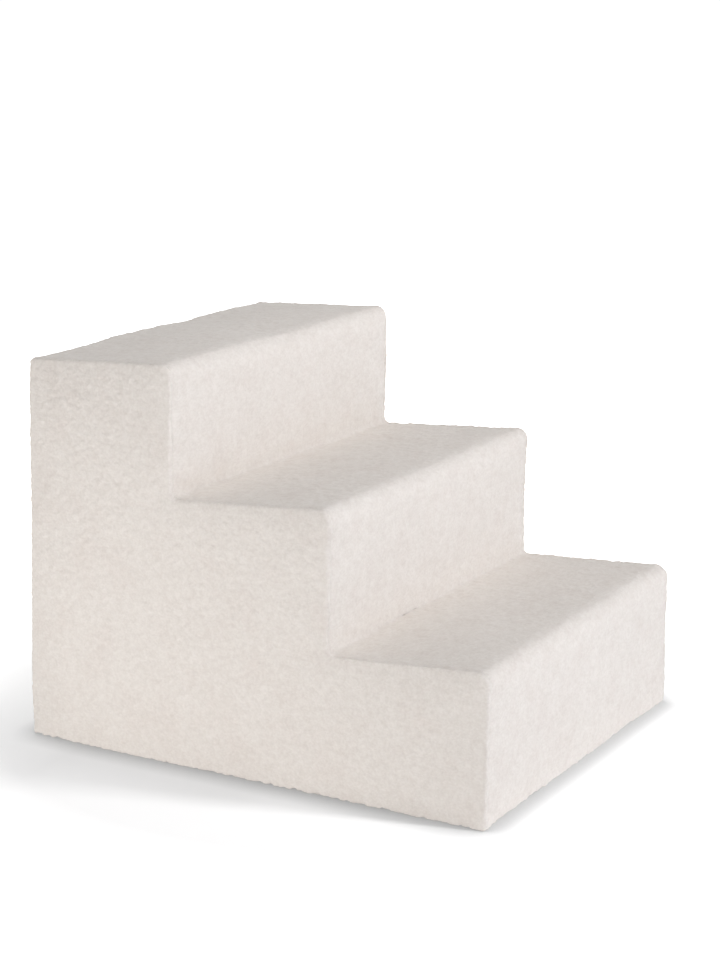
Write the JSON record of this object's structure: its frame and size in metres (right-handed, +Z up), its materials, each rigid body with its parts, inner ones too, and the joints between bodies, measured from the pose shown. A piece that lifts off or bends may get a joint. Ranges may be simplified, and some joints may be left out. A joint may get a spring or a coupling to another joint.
{
  "type": "pet stairs",
  "caption": "Low foam pet stairs with rounded treads, a plush zip-off cover and a non-slip base, for a small animal to climb to a sofa or bed.",
  "frame": {"origin": "on the floor, at the centre of the stairs' footprint", "axes": "+Z up; -Y is the climbing side with the low step and +Y the tall back; X runs across the width, with -X on the left of someone who faces the low step from the front"},
  "size_m": [0.445, 0.518, 0.4],
  "materials": {
    "core_foam": "cut open-cell polyurethane foam, firm",
    "pad_foam": "cut open-cell polyurethane foam, soft",
    "plush": "short-pile ivory plush",
    "base_cloth": "woven non-slip base cloth",
    "silicone": "satin silicone dots",
    "zip_tape": "woven polyester zip tape",
    "zip_coil": "nylon coil",
    "zip_metal": "satin nickel-plated zinc",
    "thread": "polyester thread"
  },
  "bodies": {
    "root": {"foam_slab_lower": "core_foam", "foam_slab_middle": "core_foam", "foam_slab_upper": "core_foam", "tread_pad_lower": "pad_foam", "tread_pad_middle": "pad_foam", "tread_pad_upper": "pad_foam", "stair_panel": "plush", "side_panel_left": "plush", "side_panel_right": "plush", "back_flap": "plush", "back_facing_left": "plush", "back_facing_right": "plush", "back_facing_bottom": "plush", "base_panel": "base_cloth", "grip_dots": "silicone", "zip_tape_flap": "zip_tape", "zip_tape_facing": "zip_tape", "zip_coil_flap": "zip_coil", "zip_coil_facing": "zip_coil", "zip_top_stops": "zip_metal", "zip_end_stop": "zip_metal", "zip_bar_tacks": "thread"},
    "zip_slider": {"zip_slider": "zip_metal"},
    "zip_pull": {"zip_pull": "zip_metal"}
  },
  "joints": [
    {"name": "zip_slide", "type": "slide", "parent": "root", "child": "zip_slider", "axis": [0, 0, -1], "range_m": [0, 0.25]},
    {"name": "pull_swing", "type": "hinge", "parent": "zip_slider", "child": "zip_pull", "pos_m": [0.1845, 0.2552, 0.3462], "axis": [1, 0, 0], "range_deg": [0, 155]}
  ]
}
